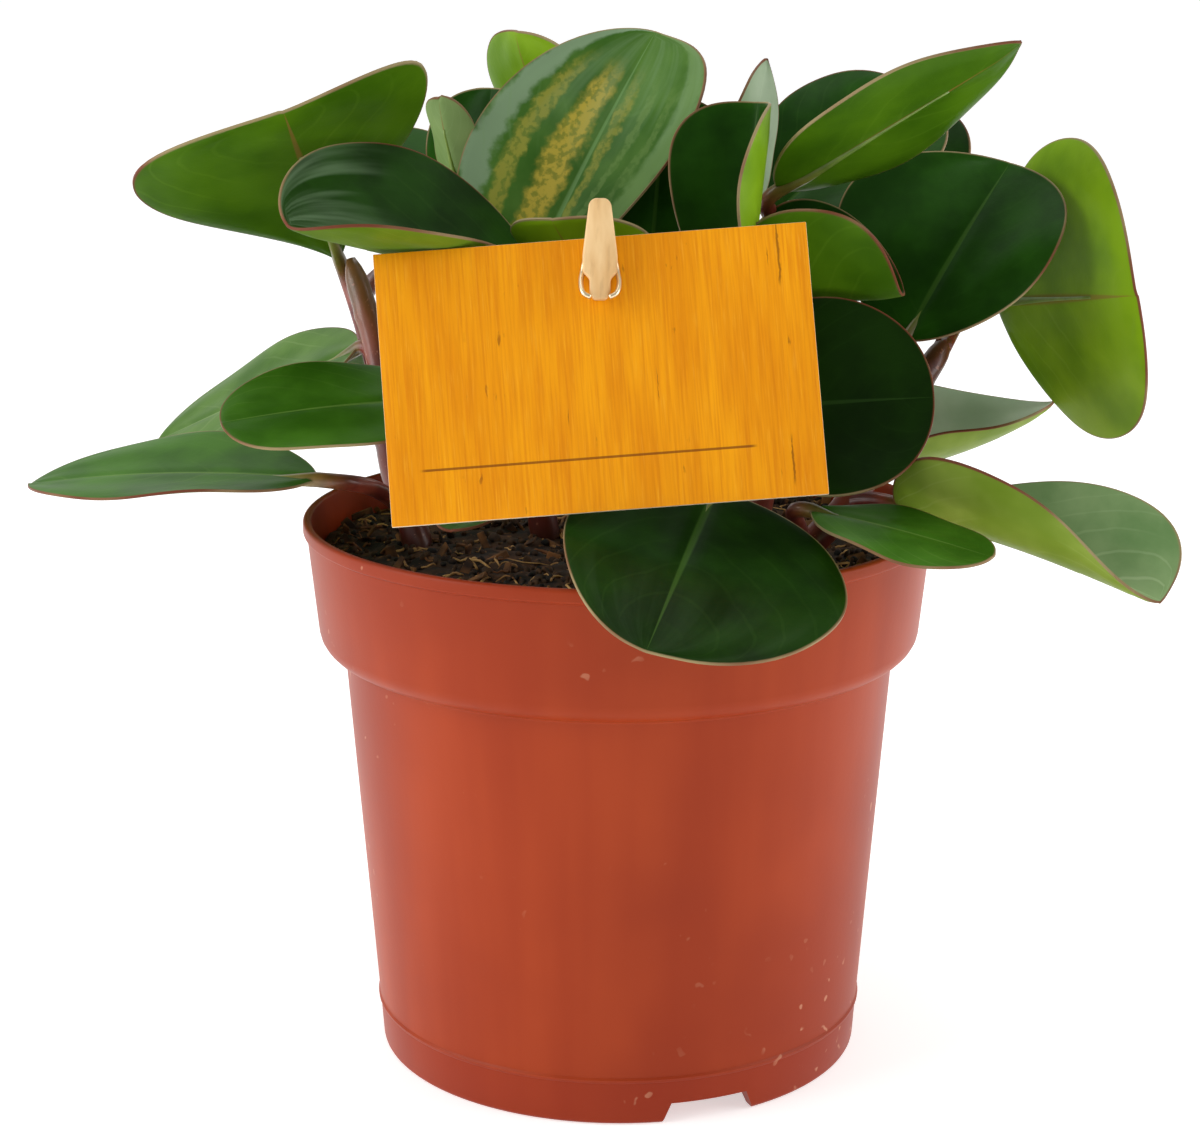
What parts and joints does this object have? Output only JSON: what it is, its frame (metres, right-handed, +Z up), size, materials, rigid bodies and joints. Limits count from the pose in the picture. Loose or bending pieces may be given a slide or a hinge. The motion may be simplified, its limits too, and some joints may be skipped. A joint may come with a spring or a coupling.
{
  "type": "baby rubber plant in a nursery pot",
  "caption": "Bushy houseplant with broad fleshy oval leaves on reddish stems, standing in a round terracotta-coloured nursery pot, with a blank wooden card pegged to a stick in the soil.",
  "frame": {"origin": "middle of the pot's base, on the surface that the pot stands on", "axes": "+Z up along the pot's axis, -Y towards the front, where the card is, +X to the right seen from the front"},
  "size_m": [0.2086, 0.1866, 0.1967],
  "materials": {
    "terracotta": "satin",
    "soil": "matte",
    "stem": "satin",
    "leaf": "glossy",
    "card": "satin",
    "wood": "matte",
    "wire": "satin"
  },
  "bodies": {
    "root": {"pot": "terracotta", "soil": "soil", "stem_left": "stem", "stem_centre_left": "stem", "stem_centre": "stem", "stem_centre_right": "stem", "stem_right": "stem", "stem_right_low": "stem", "stem_back_left": "stem", "stem_back_right": "stem", "leaf_left_high": "leaf", "leaf_left_cupped": "leaf", "leaf_left_front": "leaf", "leaf_left_pale": "leaf", "leaf_left_low": "leaf", "leaf_top_striped": "leaf", "leaf_top_young": "leaf", "leaf_top_dark": "leaf", "leaf_top_back": "leaf", "leaf_centre_small": "leaf", "leaf_centre_folded": "leaf", "leaf_centre_edge": "leaf", "leaf_centre_dark": "leaf", "leaf_right_bent": "leaf", "leaf_right_high": "leaf", "leaf_right_behind": "leaf", "leaf_right_big": "leaf", "leaf_right_far": "leaf", "leaf_right_shade": "leaf", "leaf_right_pointed": "leaf", "leaf_right_long": "leaf", "leaf_right_low": "leaf", "leaf_front": "leaf", "leaf_back_peak": "leaf", "leaf_back_left_high": "leaf", "leaf_back_left_wide": "leaf", "leaf_back_left_low": "leaf", "leaf_back_middle": "leaf", "leaf_back_middle_low": "leaf", "leaf_back_right_wide": "leaf", "leaf_back_right_low": "leaf", "leaf_back_right_high": "leaf", "leaf_side_right": "leaf", "leaf_inner_left": "leaf", "leaf_inner_back": "leaf", "leaf_side_left": "leaf", "leaf_soil_small": "leaf", "stick": "wood", "card": "card", "peg_front": "wood", "peg_back": "wood", "peg_spring": "wire"}
  },
  "joints": []
}
